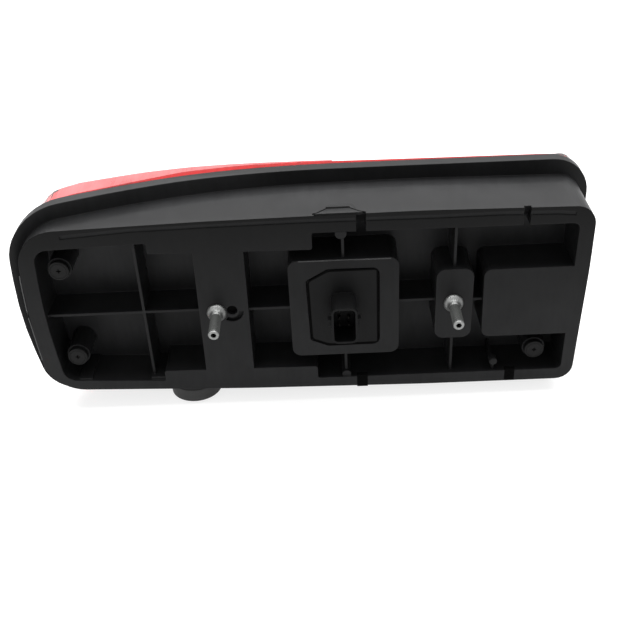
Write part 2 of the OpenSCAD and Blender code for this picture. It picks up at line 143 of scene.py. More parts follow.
# upper edge of the flange, depth of the deep red lip and reach of the crown behind it, whose
# pale colour is painted light shining through the lens, each against the place across the lamp
FLANGE_TOP = ((-180, 71.3), (-170, 73.0), (-160, 74.0), (-120, 75.3), (-90, 76.0), (-60, 76.3),
              (30, 76.45), (140, 76.3), (150, 75.0))
LIP_DEPTH = ((-172, 0.8), (-140, 1.2), (-120, 2.6), (-95, 5.6), (-50, 5.4), (-20, 4.8),
             (30, 3.2), (90, 2.1), (136, 1.2), (148, 0.7))
CROWN_REACH = ((-172, 17.0), (-160, 17.8), (-140, 16.5), (-120, 15.5), (-90, 13.0), (-60, 10.0),
               (-30, 7.4), (0, 5.8), (30, 4.6))
# places of the sections of lip and crown, and the number from the left that the crown has
LENS_SECTIONS = range(-172, 149, 2)
CROWN_SECTIONS = 88

# the bulbs' profiles are (radius, rise over the bulb's foot)
BULB_GLASS = (
    (0, 10.2), (2.6, 10.0), (5.0, 9.0), (6.8, 7.0), (7.4, 4.9), (6.9, 3.0), (5.6, 1.6),
    (4.6, 1.0), (4.6, 0.3), (4.1, 0.3), (4.1, 1.3), (5.2, 2.0), (6.4, 3.3), (6.8, 4.9),
    (6.3, 6.7), (4.7, 8.5), (2.4, 9.5), (0, 9.7),
)
BULB_CAP = ((0, 1.5), (1.6, 1.5), (2.0, 1.1), (3.9, 0.9), (4.7, 0.9), (5.1, 0.6), (5.1, 0.0),
            (0, 0.0))
BULB_POST_SIDE = 1.7
BULB_POST_RISE = 4.9
FILAMENT_SECTION = ((-0.07, 0.0, 0.33), (-0.07, 0.0, 0.47), (0.07, 0.0, 0.47), (0.07, 0.0, 0.33))


# settings
class TailLightStage(bpy.types.PropertyGroup):
    """Camera and light"""

    lens: FloatProperty(name="Lens", description="Camera focal length", default=52.589, min=10.0)
    yaw: FloatProperty(name="Yaw", description="Turn of the camera about the vertical",
                       subtype="ANGLE", default=0.013018)
    elevation: FloatProperty(name="Elevation", description="Angle the camera looks down",
                             subtype="ANGLE", default=0.591688)
    roll: FloatProperty(name="Roll", description="Lean of the camera", subtype="ANGLE",
                        default=0.048505)
    eye: FloatVectorProperty(name="Eye", description="Camera position", subtype="TRANSLATION",
                             unit="LENGTH", default=(-0.0034066, -0.4990986, 0.3284623))
    floor_drop: FloatProperty(name="Floor", description="Height of the floor", unit="LENGTH",
                              default=-0.0746)
    floor_white: FloatProperty(name="Floor white", description="Glow that whitens the floor",
                               default=0.78, min=0.0)
    sky: FloatProperty(name="Sky", description="Strength of the even light", default=0.75, min=0.0)


class TailLightHousing(bpy.types.PropertyGroup):
    """Black mouldings"""

    colour: FloatVectorProperty(name="Colour", description="Black plastic of the housing",
                                subtype="COLOR", size=4, min=0, max=1,
                                default=(0.0074, 0.0075, 0.0078, 1.0))
    gloss: FloatProperty(name="Roughness", description="Roughness of the moulded skin",
                         default=0.40, min=0.0, max=1.0)
    edge: FloatProperty(name="Edge radius", description="Rounding of the moulded edges",
                        unit="LENGTH", default=0.0009, min=0.0)


class TailLightLens(bpy.types.PropertyGroup):
    """Colours of the lens"""

    red: FloatVectorProperty(name="Red", description="Main lens", subtype="COLOR", size=4,
                             min=0, max=1, default=(0.98, 0.225, 0.228, 1.0))
    foot: FloatVectorProperty(name="Foot", description="Thick welded foot of the main lens",
                              subtype="COLOR", size=4, min=0, max=1,
                              default=(0.62, 0.008, 0.014, 1.0))
    amber: FloatVectorProperty(name="Amber", description="Indicator window", subtype="COLOR",
                               size=4, min=0, max=1, default=(1.0, 0.42, 0.06, 1.0))
    clear: FloatVectorProperty(name="Clear", description="Reversing window", subtype="COLOR",
                               size=4, min=0, max=1, default=(0.95, 0.96, 0.97, 1.0))


# node helpers
def new_material(name):
    """Material with its nodes, links and main shader"""
    material = bpy.data.materials.new(name)
    material.use_nodes = True
    nodes = material.node_tree.nodes
    shader = nodes["Principled BSDF"]
    return material, nodes, material.node_tree.links, shader


def add(nodes, kind, **values):
    """Node with its settings and the values of its sockets"""
    node = nodes.new(kind)
    for key, value in values.items():
        if key in node.bl_rna.properties:
            setattr(node, key, value)
        else:
            node.inputs[key].default_value = value
    return node


def maths(nodes, operation, second=None):
    """Math node, with the value of its second socket where that isn't linked"""
    node = add(nodes, "ShaderNodeMath", operation=operation)
    if second is not None:
        node.inputs[1].default_value = second
    return node


def ramp(nodes, stops):
    """Colour ramp with stops of (place, colour)"""
    node = nodes.new("ShaderNodeValToRGB")
    while len(node.color_ramp.elements) < len(stops):
        node.color_ramp.elements.new(0.5)
    for element, (place, value) in zip(node.color_ramp.elements, stops):
        element.position = place
        element.color = value if len(value) == 4 else (*value, 1.0)
    return node


def grey(value):
    return (value, value, value, 1.0)


def new_group(name, inputs, outputs):
    """Node group with inputs of (kind, label, default) and outputs of (kind, label)"""
    group = bpy.data.node_groups.new(name, "ShaderNodeTree")
    for kind, label, default in inputs:
        socket = group.interface.new_socket(label, in_out="INPUT", socket_type=kind)
        socket.default_value = default
    for kind, label in outputs:
        group.interface.new_socket(label, in_out="OUTPUT", socket_type=kind)
    return group, group.nodes.new("NodeGroupInput"), group.nodes.new("NodeGroupOutput")


def use_group(nodes, group, **values):
    """Group node with values for its sockets, an underscore standing for a space"""
    node = nodes.new("ShaderNodeGroup")
    node.node_tree = group
    for key, value in values.items():
        node.inputs[key.replace("_", " ")].default_value = value
    return node


def moulded_skin():
    """Tone, gloss and height of an injection-moulded surface with light handling marks"""
    if "moulded skin" in bpy.data.node_groups:
        return bpy.data.node_groups["moulded skin"]
    group, given, out = new_group(
        "moulded skin",
        [("NodeSocketColor", "Colour", grey(0.01)), ("NodeSocketFloat", "Roughness", 0.3),
         ("NodeSocketFloat", "Marks", 0.3), ("NodeSocketFloat", "Grain size", 1800.0)],
        [("NodeSocketColor", "Colour"), ("NodeSocketFloat", "Roughness"),
         ("NodeSocketFloat", "Height")])
    nodes, links = group.nodes, group.links
    coord = nodes.new("ShaderNodeTexCoord")
    flow = add(nodes, "ShaderNodeTexNoise", Scale=38.0, Detail=3.0, Roughness=0.55)
    links.new(coord.outputs["Object"], flow.inputs["Vector"])
    streak_map = nodes.new("ShaderNodeMapping")
    streak_map.inputs["Scale"].default_value = (260.0, 40.0, 60.0)
    links.new(coord.outputs["Object"], streak_map.inputs["Vector"])
    streak = add(nodes, "ShaderNodeTexNoise", Scale=1.0, Detail=5.0, Roughness=0.7)
    links.new(streak_map.outputs["Vector"], streak.inputs["Vector"])
    fine = add(nodes, "ShaderNodeTexNoise", Detail=2.0, Roughness=0.5)
    links.new(coord.outputs["Object"], fine.inputs["Vector"])
    links.new(given.outputs["Grain size"], fine.inputs["Scale"])
    mix = maths(nodes, "ADD")
    links.new(flow.outputs["Fac"], mix.inputs[0])
    links.new(streak.outputs["Fac"], mix.inputs[1])
    tone = ramp(nodes, [(0.35, grey(0.8)), (0.65, grey(1.25))])
    half = maths(nodes, "MULTIPLY", 0.5)
    links.new(mix.outputs[0], half.inputs[0])
    links.new(half.outputs[0], tone.inputs["Fac"])
    tint = add(nodes, "ShaderNodeMix", data_type="RGBA", blend_type="MULTIPLY")
    tint.inputs["Factor"].default_value = 1.0
    links.new(given.outputs["Colour"], tint.inputs["A"])
    links.new(tone.outputs["Color"], tint.inputs["B"])
    links.new(tint.outputs["Result"], out.inputs["Colour"])
    away = maths(nodes, "SUBTRACT", 0.5)
    links.new(half.outputs[0], away.inputs[0])
    swing = maths(nodes, "MULTIPLY_ADD")
    links.new(away.outputs[0], swing.inputs[0])
    links.new(given.outputs["Marks"], swing.inputs[1])
    links.new(given.outputs["Roughness"], swing.inputs[2])
    links.new(swing.outputs[0], out.inputs["Roughness"])
    links.new(fine.outputs["Fac"], out.inputs["Height"])
    return group


def rounded_normal(nodes, radius, samples=4):
    """Normal that rounds sharp edges in the render"""
    node = nodes.new("ShaderNodeBevel")
    node.samples = samples
    node.inputs["Radius"].default_value = radius
    return node


def plastic(name, colour, roughness, edge=0.0005, grain=0.00002, specular=0.5, marks=0.12,
            grain_size=1800.0, samples=4):
    """Moulded plastic or rubber"""
    material, nodes, links, shader = new_material(name)
    skin = use_group(nodes, moulded_skin(), Colour=colour, Roughness=roughness, Marks=marks,
                     Grain_size=grain_size)
    links.new(skin.outputs["Colour"], shader.inputs["Base Color"])
    links.new(skin.outputs["Roughness"], shader.inputs["Roughness"])
    bump = nodes.new("ShaderNodeBump")
    bump.inputs["Distance"].default_value = grain
    bump.inputs["Strength"].default_value = 0.5
    links.new(skin.outputs["Height"], bump.inputs["Height"])
    if edge > 0:
        bevel = rounded_normal(nodes, edge, samples)
        links.new(bevel.outputs["Normal"], bump.inputs["Normal"])
    links.new(bump.outputs["Normal"], shader.inputs["Normal"])
    shader.inputs["Specular IOR Level"].default_value = specular
    return material


def metal(name, colour, roughness, edge=0.0003, brush=(900.0, 60.0, 900.0), metallic=1.0):
    """Plated or plain metal with a faint brushed grain"""
    material, nodes, links, shader = new_material(name)
    coord = nodes.new("ShaderNodeTexCoord")
    place = nodes.new("ShaderNodeMapping")
    place.inputs["Scale"].default_value = brush
    links.new(coord.outputs["Object"], place.inputs["Vector"])
    noise = add(nodes, "ShaderNodeTexNoise", Scale=1.0, Detail=4.0, Roughness=0.6)
    links.new(place.outputs["Vector"], noise.inputs["Vector"])
    dull = tuple(part * BRUSH_SHADE for part in colour[:3])
    tone = ramp(nodes, [(0.3, dull), (0.7, colour[:3])])
    links.new(noise.outputs["Fac"], tone.inputs["Fac"])
    links.new(tone.outputs["Color"], shader.inputs["Base Color"])
    gloss = nodes.new("ShaderNodeMapRange")
    gloss.inputs["To Min"].default_value = max(0.0, roughness - GLOSS_SWING)
    gloss.inputs["To Max"].default_value = roughness + GLOSS_SWING
    links.new(noise.outputs["Fac"], gloss.inputs["Value"])
    links.new(gloss.outputs["Result"], shader.inputs["Roughness"])
    shader.inputs["Metallic"].default_value = metallic
    bump = nodes.new("ShaderNodeBump")
    bump.inputs["Distance"].default_value = 0.00003
    bump.inputs["Strength"].default_value = 0.4
    links.new(noise.outputs["Fac"], bump.inputs["Height"])
    if edge > 0:
        bevel = rounded_normal(nodes, edge)
        links.new(bevel.outputs["Normal"], bump.inputs["Normal"])
    links.new(bump.outputs["Normal"], shader.inputs["Normal"])
    return material


def clear_plastic(name, colour, roughness=0.06, flutes=0.0, pitch=520.0):
    """Tinted clear plastic, with moulded flutes where they have a depth"""
    material, nodes, links, shader = new_material(name)
    shader.inputs["Base Color"].default_value = colour
    shader.inputs["Roughness"].default_value = roughness
    shader.inputs["Transmission Weight"].default_value = 1.0
    shader.inputs["IOR"].default_value = LENS_PLASTIC_IOR
    if flutes > 0:
        coord = nodes.new("ShaderNodeTexCoord")
        wave = add(nodes, "ShaderNodeTexWave", wave_type="BANDS", bands_direction="X",
                   Scale=pitch / WAVE_TURN)
        links.new(coord.outputs["Object"], wave.inputs["Vector"])
        bump = nodes.new("ShaderNodeBump")
        bump.inputs["Distance"].default_value = flutes
        links.new(wave.outputs["Fac"], bump.inputs["Height"])
        links.new(bump.outputs["Normal"], shader.inputs["Normal"])
    return material


def red_lens(colour, foot):
    """Red plastic, deeper where one looks through the thick welded foot along the flange"""
    material, nodes, links, shader = new_material("red lens plastic")
    shader.inputs["Roughness"].default_value = 0.05
    shader.inputs["Transmission Weight"].default_value = 1.0
    shader.inputs["IOR"].default_value = LENS_PLASTIC_IOR
    coord = nodes.new("ShaderNodeTexCoord")
    split = nodes.new("ShaderNodeSeparateXYZ")
    links.new(coord.outputs["Object"], split.inputs["Vector"])
    swept = maths(nodes, "MINIMUM", 0.0)
    links.new(split.outputs["X"], swept.inputs[0])
    forward = maths(nodes, "SUBTRACT", FLANGE_CENTRE)
    links.new(split.outputs["Y"], forward.inputs[0])
    joined = nodes.new("ShaderNodeCombineXYZ")
    links.new(swept.outputs[0], joined.inputs["X"])
    links.new(forward.outputs[0], joined.inputs["Y"])
    reach = add(nodes, "ShaderNodeVectorMath", operation="LENGTH")
    links.new(joined.outputs["Vector"], reach.inputs[0])
    above = maths(nodes, "SUBTRACT", FLANGE_RADIUS)
    links.new(reach.outputs["Value"], above.inputs[0])
    place = nodes.new("ShaderNodeMapRange")
    place.inputs["From Min"].default_value = -HALF_LENGTH
    place.inputs["From Max"].default_value = HALF_LENGTH
    links.new(split.outputs["X"], place.inputs["Value"])
    # reach of the deep band past the flange along the lens, as a share of FOOT_BAND
    height = ramp(nodes, [(0.09, grey(0.58)), (0.15, grey(0.48)), (0.19, grey(0.54)),
                          (0.25, grey(0.63)), (0.33, grey(0.76)), (0.41, grey(0.95))])
    links.new(place.outputs["Result"], height.inputs["Fac"])
    width = maths(nodes, "MULTIPLY", FOOT_BAND)
    links.new(height.outputs["Color"], width.inputs[0])
    share = maths(nodes, "DIVIDE")
    links.new(above.outputs[0], share.inputs[0])
    links.new(width.outputs[0], share.inputs[1])
    speck = add(nodes, "ShaderNodeTexNoise", Scale=60.0, Detail=2.0)
    links.new(coord.outputs["Object"], speck.inputs["Vector"])
    sway = maths(nodes, "MULTIPLY_ADD", 0.3)
    links.new(speck.outputs["Fac"], sway.inputs[0])
    links.new(share.outputs[0], sway.inputs[2])
    tone = ramp(nodes, [(0.0, foot), (1.0, colour)])
    edge = nodes.new("ShaderNodeMapRange")
    edge.inputs["From Min"].default_value = FOOT_FADE[0]
    edge.inputs["From Max"].default_value = FOOT_FADE[1]
    links.new(sway.outputs[0], edge.inputs["Value"])
    links.new(edge.outputs["Result"], tone.inputs["Fac"])
    links.new(tone.outputs["Color"], shader.inputs["Base Color"])
    return material


# mesh helpers
def piece(name, shape, material, crease=32.0):
    """Turn a bmesh into a piece of the lamp that rides on its root"""
    mesh = bpy.data.meshes.new(name)
    shape.to_mesh(mesh)
    shape.free()
    for face in mesh.polygons:
        face.use_smooth = True
    mesh.set_sharp_from_angle(angle=math.radians(crease))
    for item in material if isinstance(material, (list, tuple)) else (material,):
        mesh.materials.append(item)
    obj = bpy.data.objects.new(name, mesh)
    bpy.context.scene.collection.objects.link(obj)
    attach(obj, "root")
    return obj


def turned(profile, centre, steps=48, axis=(0.0, 1.0, 0.0)):
    """Full turn of a profile of (radius, height) in mm about an axis through centre"""
    shape = bmesh.new()
    side = (1.0, 0.0, 0.0) if abs(axis[0]) < 0.5 else (0.0, 0.0, 1.0)
    points = [Vector(centre) + (Vector(side) * radius + Vector(axis) * height) * MM
              for radius, height in profile]
    verts = [shape.verts.new(point) for point in points]
    edges = [shape.edges.new(pair) for pair in zip(verts, verts[1:])]
    bmesh.ops.spin(shape, geom=verts + edges, cent=centre, axis=axis, angle=2 * math.pi,
                   steps=steps, use_merge=True, use_duplicate=False)
    bmesh.ops.remove_doubles(shape, verts=shape.verts, dist=0.00001)
    bmesh.ops.recalc_face_normals(shape, faces=shape.faces)
    return shape


def lobes(shape, centre, reach, count, depth):
    """Turn the round recess within reach of the axis into one with lobes"""
    for vert in shape.verts:
        out = Vector((vert.co.x - centre[0], vert.co.z - centre[2]))
        if 0.0001 < out.length < reach:
            grow = 1.0 + depth * math.cos(count * math.atan2(out.y, out.x))
            vert.co.x = centre[0] + out.x * grow
            vert.co.z = centre[2] + out.y * grow


def soften(shape, offset, affect="EDGES", segments=2):
    """Round all edges or all corners of a shape by an offset in metres"""
    bmesh.ops.bevel(shape, geom=shape.edges[:] if affect == "EDGES" else shape.verts[:],
                    offset=offset, affect=affect, segments=segments, profile=0.5, material=-1)


def thicken(shape, offset):
    """Extrude flat faces by an offset in metres"""
    grown = bmesh.ops.extrude_face_region(shape, geom=shape.faces[:])
    tops = [item for item in grown["geom"] if isinstance(item, bmesh.types.BMVert)]
    bmesh.ops.translate(shape, vec=offset, verts=tops)
    bmesh.ops.recalc_face_normals(shape, faces=shape.faces)


def block(low, high, soft=0.2):
    """Small bar between two corners in mm with rounded edges"""
    shape = bmesh.new()
    bmesh.ops.create_cube(shape, size=1.0)
    size = [(b - a) * MM for a, b in zip(low, high)]
    middle = [(a + b) / 2 * MM for a, b in zip(low, high)]
    bmesh.ops.scale(shape, vec=size, verts=shape.verts)
    bmesh.ops.translate(shape, vec=middle, verts=shape.verts)
    soften(shape, soft * MM)
    return shape


def lofted(rings):
    """Carry a ring of points in mm through a row of rings, closed at both ends"""
    rings = [[Vector(point) * MM for point in ring] for ring in rings]
    shape = bmesh.new()
    end = shape.faces.new([shape.verts.new(point) for point in rings[0]])
    for before, ring in zip(rings, rings[1:]):
        grown = bmesh.ops.extrude_face_region(shape, geom=[end])["geom"]
        end = [item for item in grown if isinstance(item, bmesh.types.BMFace)][0]
        for vert in [item for item in grown if isinstance(item, bmesh.types.BMVert)]:
            same = min(range(len(ring)), key=lambda index: (vert.co - before[index]).length)
            vert.co = ring[same]
    bmesh.ops.recalc_face_normals(shape, faces=shape.faces)
    return shape


def rod(path, radius, sides=8):
    """Round bar along points in mm that run roughly along X or Z"""
    rings = []
    for place, point in enumerate(path):
        there = Vector(path[min(place + 1, len(path) - 1)])
        here = Vector(path[max(place - 1, 0)])
        facing = (there - here).to_track_quat("Z", "Y").to_matrix()
        ring = []
        for side in range(sides):
            turn = side * math.tau / sides
            ring.append(Vector(point) + facing @ Vector((radius * math.cos(turn),
                                                         radius * math.sin(turn), 0.0)))
        rings.append(ring)
    return lofted(rings)


def helix(section, centre, axis, turns, steps, rise):
    """Carry a section of points in metres round an axis, with a rise a turn in metres"""
    shape = bmesh.new()
    start = shape.faces.new([shape.verts.new(point) for point in section])
    bmesh.ops.spin(shape, geom=[start] + start.edges[:] + start.verts[:], cent=centre,
                   axis=axis, angle=math.tau * turns, steps=turns * steps,
                   dvec=Vector(axis) * (rise / steps), use_duplicate=False)
    bmesh.ops.recalc_face_normals(shape, faces=shape.faces)
    return shape


def flange_front(across):
    """Depth in mm of the front of the flange at a place across the lamp in mm"""
    swing = min(across, 0.0) * MM
    return (FLANGE_CENTRE + math.sqrt(FLANGE_RADIUS ** 2 - swing ** 2)) / MM


def along(stops, across):
    """Value between stops of (place, value)"""
    if across <= stops[0][0]:
        return stops[0][1]
    for (start, low), (end, high) in zip(stops, stops[1:]):
        if across <= end:
            return low + (high - low) * (across - start) / (end - start)
    return stops[-1][1]


def band(outline, width, low, high, corner=2.0):
    """Ring of even width that follows a closed outline in X and Z"""
    shape = bmesh.new()
    shape.faces.new([shape.verts.new((x * MM, low * MM, z * MM)) for x, z in outline])
    soften(shape, corner * MM, "VERTICES", 4)
    middle = shape.faces[:]
    bmesh.ops.inset_region(shape, faces=middle, thickness=width * MM,
                           use_even_offset=True, use_boundary=True)
    bmesh.ops.delete(shape, geom=middle, context="FACES_ONLY")
    thicken(shape, (0, (high - low) * MM, 0))
    return shape


def dress(node, material):
    """Give a node of the CAD model its finish"""
    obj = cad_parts[node]
    obj.data.materials.clear()
    obj.data.materials.append(material)


# operators
class TAILLIGHT_OT_stage(bpy.types.Operator):
    """Floor, even light and the camera at the photograph's angle"""

    bl_idname = "taillight.stage"
    bl_label = "Stage"

    def execute(self, context):
        values = context.scene.taillight_stage
        scene = context.scene
        scene.view_settings.view_transform = "Standard"
        world = bpy.data.worlds.new("even light")
        scene.world = world
        world.use_nodes = True
        nodes, links = world.node_tree.nodes, world.node_tree.links
        lit = nodes["Background"]
        lit.inputs["Color"].default_value = grey(1.0)
        lit.inputs["Strength"].default_value = values.sky
        seen = add(nodes, "ShaderNodeBackground", Color=grey(1.0), Strength=1.0)
        self.swap(nodes, links, lit, seen, nodes["World Output"].inputs["Surface"])

        mesh = bpy.data.meshes.new("floor")
        shape = bmesh.new()
        bmesh.ops.create_grid(shape, x_segments=1, y_segments=1, size=FLOOR_SIZE)
        bmesh.ops.translate(shape, vec=(0, 0, values.floor_drop), verts=shape.verts)
        shape.to_mesh(mesh)
        shape.free()
        floor = bpy.data.objects.new("floor", mesh)
        scene.collection.objects.link(floor)
        material, nodes, links, shader = new_material("pale floor")
        shader.inputs["Base Color"].default_value = grey(0.8)
        shader.inputs["Roughness"].default_value = 0.9
        white = add(nodes, "ShaderNodeEmission", Color=grey(1.0), Strength=values.floor_white)
        shade = add(nodes, "ShaderNodeBsdfDiffuse", Color=grey(0.30))
        pale = nodes.new("ShaderNodeAddShader")
        links.new(white.outputs[0], pale.inputs[0])
        links.new(shade.outputs[0], pale.inputs[1])
        self.swap(nodes, links, shader, pale, nodes["Material Output"].inputs["Surface"])
        floor.data.materials.append(material)

        for light in LIGHTS:
            self.lamp(scene, *light)

        camera = bpy.data.objects.new("photo camera", bpy.data.cameras.new("photo camera"))
        scene.collection.objects.link(camera)
        camera.data.lens = values.lens
        camera.data.sensor_width = SENSOR_WIDTH
        camera.data.clip_start = 0.01
        turn = (Matrix.Rotation(values.yaw, 3, "Z")
                @ Matrix.Rotation(math.pi / 2 - values.elevation, 3, "X")
                @ Matrix.Rotation(-values.roll, 3, "Z"))
        camera.matrix_world = Matrix.Translation(values.eye) @ turn.to_4x4()
        scene.camera = camera
        return {"FINISHED"}

    def swap(self, nodes, links, lit, seen, target):
        """Show one shader to the camera, mirrors and glass, and light with the other"""
        path = nodes.new("ShaderNodeLightPath")
        straight = maths(nodes, "MAXIMUM")
        links.new(path.outputs["Is Camera Ray"], straight.inputs[0])
        links.new(path.outputs["Is Transmission Ray"], straight.inputs[1])
        bright = maths(nodes, "MAXIMUM")
        links.new(straight.outputs[0], bright.inputs[0])
        links.new(path.outputs["Is Glossy Ray"], bright.inputs[1])
        choose = nodes.new("ShaderNodeMixShader")
        links.new(bright.outputs[0], choose.inputs["Fac"])
        links.new(lit.outputs[0], choose.inputs[1])
        links.new(seen.outputs[0], choose.inputs[2])
        links.new(choose.outputs[0], target)

    def lamp(self, scene, name, place, aim, size, power):
        """Area light that the camera doesn't see"""
        data = bpy.data.lights.new(name, "AREA")
        data.shape = "RECTANGLE"
        data.size, data.size_y = size
        data.energy = power
        lamp = bpy.data.objects.new(name, data)
        lamp.visible_camera = False
        scene.collection.objects.link(lamp)
        facing = (Vector(aim) - Vector(place)).to_track_quat("-Z", "Y")
        lamp.matrix_world = Matrix.Translation(place) @ facing.to_matrix().to_4x4()


class TAILLIGHT_OT_housing(bpy.types.Operator):
    """Black mouldings, seals and the small pieces on them"""

    bl_idname = "taillight.housing"
    bl_label = "Housing"

    def execute(self, context):
        values = context.scene.taillight_housing
        colour = tuple(values.colour)
        skin = plastic("black housing plastic", colour, values.gloss, values.edge,
                       specular=0.11, samples=8)
        # painted light and shade in the housing's colour
        self.lift(skin)
        dress("rear_housing", skin)
        # a darker copy of the housing's black, painted shade on the connector and in its shroud
        darker = tuple(part * CONNECTOR_PAINTED_SHADE for part in colour[:3]) + (1.0,)
        dress("connector_plate", plastic("connector plastic with painted shade", darker, values.gloss + 0.03, 0.0005,
                                         specular=0.09))
        rubber = plastic("seal rubber", grey(0.006), 0.7, 0.0002, specular=0.2)
        for node in ("plate_seal", "lens_seal", "buzzer_seal"):
            dress(node, rubber)
        # near-black material for bars and bands that stand in for the shade in gaps and slots, a
        # painted shadow
        shadow = plastic("painted gap shadow", grey(0.0008), 0.9, 0.0, specular=0.05)
        dress("breather_plug", plastic("breather foam", grey(0.0015), 0.9, 0.0, specular=0.08))
        # a near-black band round the connector plate, painted shadow in the gap round it
        piece("plate_gap_shadow", band(PLATE_OUTLINE, 1.1, 2.92, 3.5), shadow)
        # near-black blocks in the rim's slots, a painted shadow
        for name, left, right in DRAIN_SLOT_SHADOWS:
            piece(name, block((left, 2.9, -64.4), (right, 6.0, -54.9), 0.1), shadow)
        peg_centre = (PEG_AXIS[0] * MM, 0.0, PEG_AXIS[1] * MM)
        piece("rib_peg", turned(PEG_PROFILE, peg_centre, 32), skin)
        piece("rib_web", block((104.1, 5.6, -57.0), (105.5, 33.2, -50.0)),
              skin)
        polish = plastic("polished edge plastic", colour, 0.2, 0.0, specular=0.5, marks=0.05)
        rise = [(across - 0.25, 3.3, up) for across, up in reversed(RIM_LEFT_EDGE)]
        piece("rim_edge_bead", rod(rise, 0.45), polish, 60.0)
        piece("pad_edge_bead", rod(PAD_TOP_EDGE, 0.5), polish, 60.0)
        self.latch(skin, shadow)
        return {"FINISHED"}

    def lift(self, material):
        """Painted light that makes the recesses paler, and painted light and shade that make the
        rear faces paler low down and darker towards the top
        """
        nodes, links = material.node_tree.nodes, material.node_tree.links
        target = nodes["Principled BSDF"].inputs["Base Color"]
        tint = target.links[0].from_socket
        coord = nodes.new("ShaderNodeTexCoord")
        split = nodes.new("ShaderNodeSeparateXYZ")
        links.new(coord.outputs["Object"], split.inputs["Vector"])
        depth = maths(nodes, "MULTIPLY", 1.0 / PAINTED_LIGHT_DEPTH)
        links.new(split.outputs["Y"], depth.inputs[0])
        share = ramp(nodes, [(0.24, grey(0.5)), (0.60, grey(0.88)), (0.88, grey(0.88)),
                             (0.95, grey(0.5))])
        links.new(depth.outputs[0], share.inputs["Fac"])
        up = nodes.new("ShaderNodeMapRange")
        up.inputs["From Min"].default_value = -HALF_HEIGHT
        up.inputs["From Max"].default_value = HALF_HEIGHT
        links.new(split.outputs["Z"], up.inputs["Value"])
        fade = ramp(nodes, [(0.0, grey(0.80)), (0.5, grey(0.50)), (0.8, grey(0.30)),
                            (0.95, grey(0.10))])
        links.new(up.outputs["Result"], fade.inputs["Fac"])
        rear = maths(nodes, "LESS_THAN", REAR_FACES)
        links.new(split.outputs["Y"], rear.inputs[0])
        choose = add(nodes, "ShaderNodeMix", data_type="FLOAT")
        links.new(rear.outputs[0], choose.inputs[0])
        links.new(share.outputs["Color"], choose.inputs[2])
        links.new(fade.outputs["Color"], choose.inputs[3])
        double = maths(nodes, "MULTIPLY", 2.0)
        links.new(choose.outputs[0], double.inputs[0])
        lit_and_shaded = add(nodes, "ShaderNodeVectorMath", operation="SCALE")
        links.new(tint, lit_and_shaded.inputs[0])
        links.new(double.outputs[0], lit_and_shaded.inputs["Scale"])
        links.new(lit_and_shaded.outputs["Vector"], target)

    def latch(self, skin, shadow):
        """Tongue on the upper wall, with a near-black bar and rods round it as painted shadow in
        its gap and slits
        """
        tongue = bmesh.new()
        tongue.faces.new([tongue.verts.new((x * MM, y * MM, LATCH_UNDERSIDE * MM))
                          for x, y in LATCH_TONGUE])
        thicken(tongue, (0, 0, LATCH_THICKNESS * MM))
        soften(tongue, 0.2 * MM)
        piece("latch_tongue", tongue, skin)
        piece("latch_gap_shadow", block((-3.4, 9.4, 66.6), (11.4, 11.6, 68.0), 0.4),
              shadow)
        piece("latch_slit_shadow_left", rod(LATCH_SLIT_LEFT, 0.45), shadow)
        piece("latch_slit_shadow_right", rod(LATCH_SLIT_RIGHT, 0.45), shadow)


